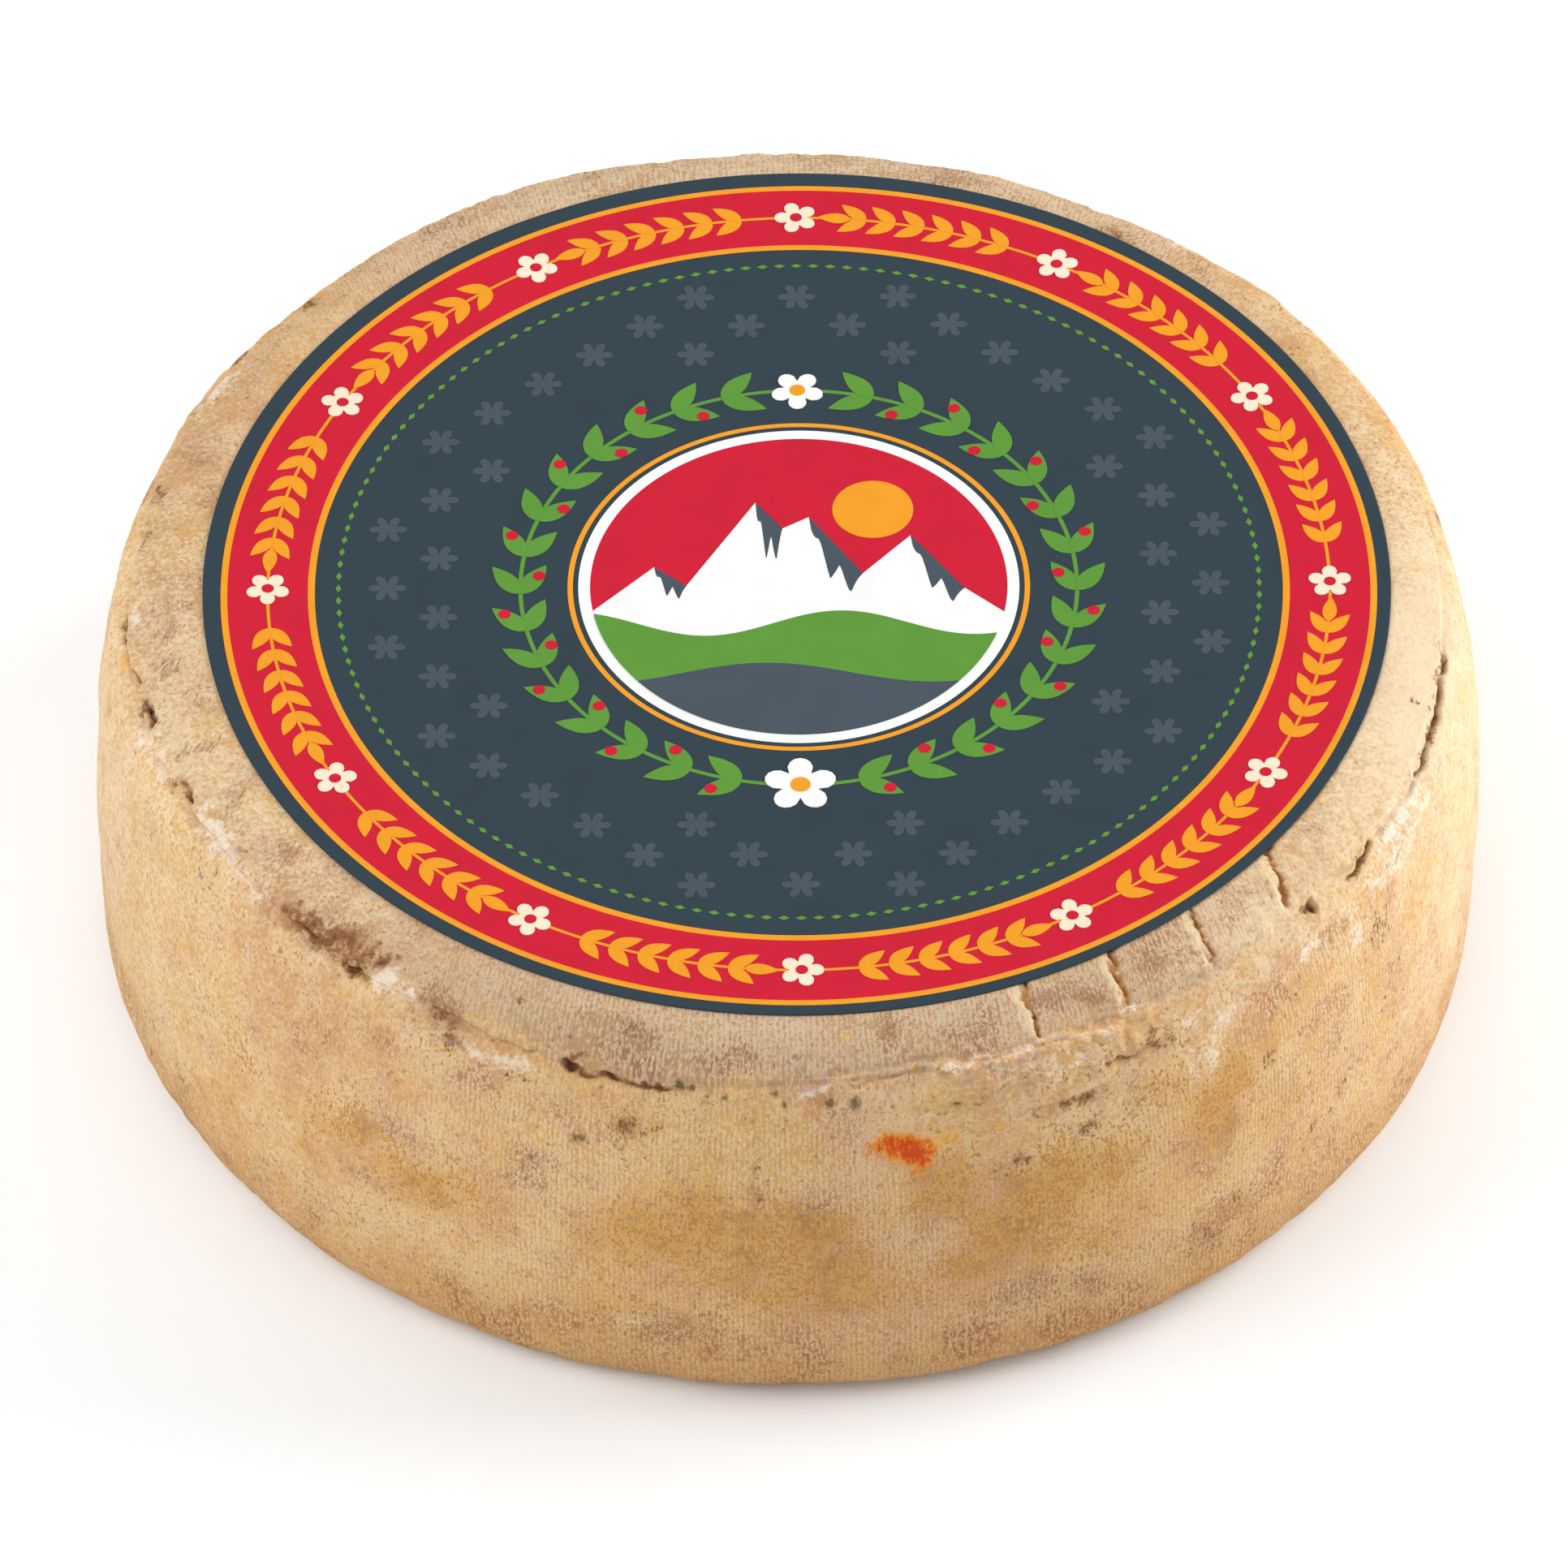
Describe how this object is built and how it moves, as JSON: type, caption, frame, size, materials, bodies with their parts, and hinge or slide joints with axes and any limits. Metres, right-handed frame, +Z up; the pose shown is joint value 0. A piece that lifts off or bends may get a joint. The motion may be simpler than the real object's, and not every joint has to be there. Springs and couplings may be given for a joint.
{
  "type": "cheese wheel",
  "caption": "Whole round wheel of pressed sheep's-milk cheese with a natural cloth-marked rind and a round paper label on its top face, resting flat on its underside.",
  "frame": {"origin": "middle of the flat underside that the wheel rests on", "axes": "+Z up along the wheel's axis, -Y towards the viewer of the picture, +X to the viewer's right"},
  "size_m": [0.2607, 0.2597, 0.0824],
  "materials": {
    "rind": "dry matte natural rind, straw to ochre, with fine cloth ribs, brown dents and pale bloom",
    "label_paper": "printed coated paper, slate with a red band and thin orange rings, satin"
  },
  "bodies": {
    "root": {"cheese_wheel": "rind", "paper_label": "label_paper"}
  },
  "joints": []
}
